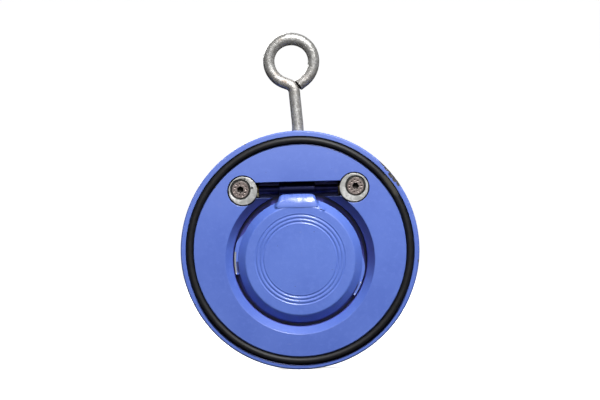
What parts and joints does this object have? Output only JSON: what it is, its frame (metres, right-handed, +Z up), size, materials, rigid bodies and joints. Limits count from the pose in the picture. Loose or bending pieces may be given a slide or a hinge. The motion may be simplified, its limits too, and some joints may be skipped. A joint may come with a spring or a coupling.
{
  "type": "wafer check valve",
  "caption": "Thin round wafer swing check valve with an off-centre hinged flap, flange O-rings in both faces and a bent-bar lifting eye.",
  "frame": {"origin": "centre of the ring's outer cylinder at mid-thickness", "axes": "+Z up to the lifting eye, -Y out of the outlet face that the flap swings towards, +Y upstream out of the inlet face, +X to the right seen from the outlet side"},
  "size_m": [0.162, 0.02, 0.2292],
  "materials": {
    "body_paint": "satin blue epoxy paint on cast iron, chipped at the edges",
    "flap_paint": "satin blue epoxy paint over turned rings",
    "pin_paint": "overpainted round bar",
    "bush_bronze": "dull bearing bronze",
    "nitrile": "satin black nitrile",
    "disc_steel": "bright turned stainless",
    "screw_steel": "dull warm stainless",
    "eye_steel": "galvanised bar, hammered and a little rusty"
  },
  "bodies": {
    "body": {"body_ring": "body_paint", "pin_bush_left": "bush_bronze", "pin_bush_right": "bush_bronze", "outlet_o_ring": "nitrile", "inlet_o_ring": "nitrile", "retainer_disc_left": "disc_steel", "retainer_disc_right": "disc_steel", "retainer_screw_left": "screw_steel", "retainer_screw_right": "screw_steel", "lifting_eye": "eye_steel"},
    "flap": {"flap": "flap_paint", "hinge_pin": "pin_paint", "seat_o_ring": "nitrile"}
  },
  "joints": [
    {"name": "flap_swing", "type": "hinge", "parent": "body", "child": "flap", "pos_m": [0, 0, 0.0412], "axis": [-1, 0, 0], "range_deg": [0, 76]}
  ]
}
